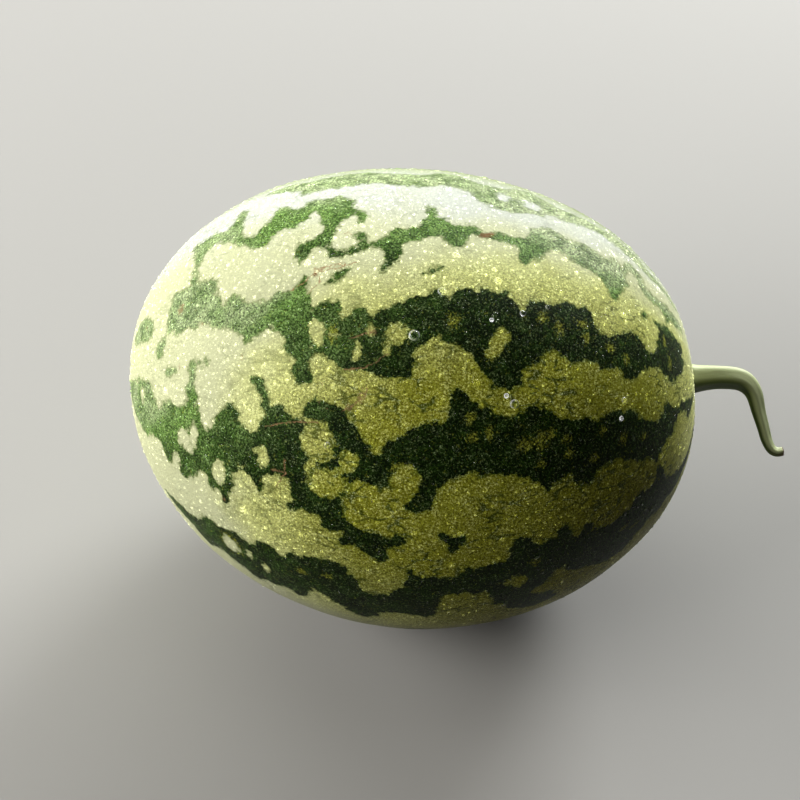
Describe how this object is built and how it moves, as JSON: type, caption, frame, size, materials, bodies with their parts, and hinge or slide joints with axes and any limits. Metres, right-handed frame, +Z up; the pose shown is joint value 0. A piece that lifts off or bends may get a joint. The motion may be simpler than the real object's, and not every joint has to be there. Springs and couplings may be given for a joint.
{
  "type": "watermelon",
  "caption": "Whole small oval watermelon with a striped green rind and a short curved cut stem, lying on its side.",
  "frame": {"origin": "middle of the flat spot underneath that the fruit rests on", "axes": "+Z up, +X along the fruit towards its stem end, +Y level across it"},
  "size_m": [0.2414, 0.1684, 0.1664],
  "materials": {
    "rind": "smooth waxy rind, pale yellow-green with broad jagged dark green stripes, satin gloss, dewy",
    "stem": "fresh green ribbed stem, satin, dry pale brown at the cut tip",
    "dew": "clear fine water drops standing on the rind"
  },
  "bodies": {
    "root": {"melon_body": "rind", "stem": "stem"}
  },
  "joints": []
}
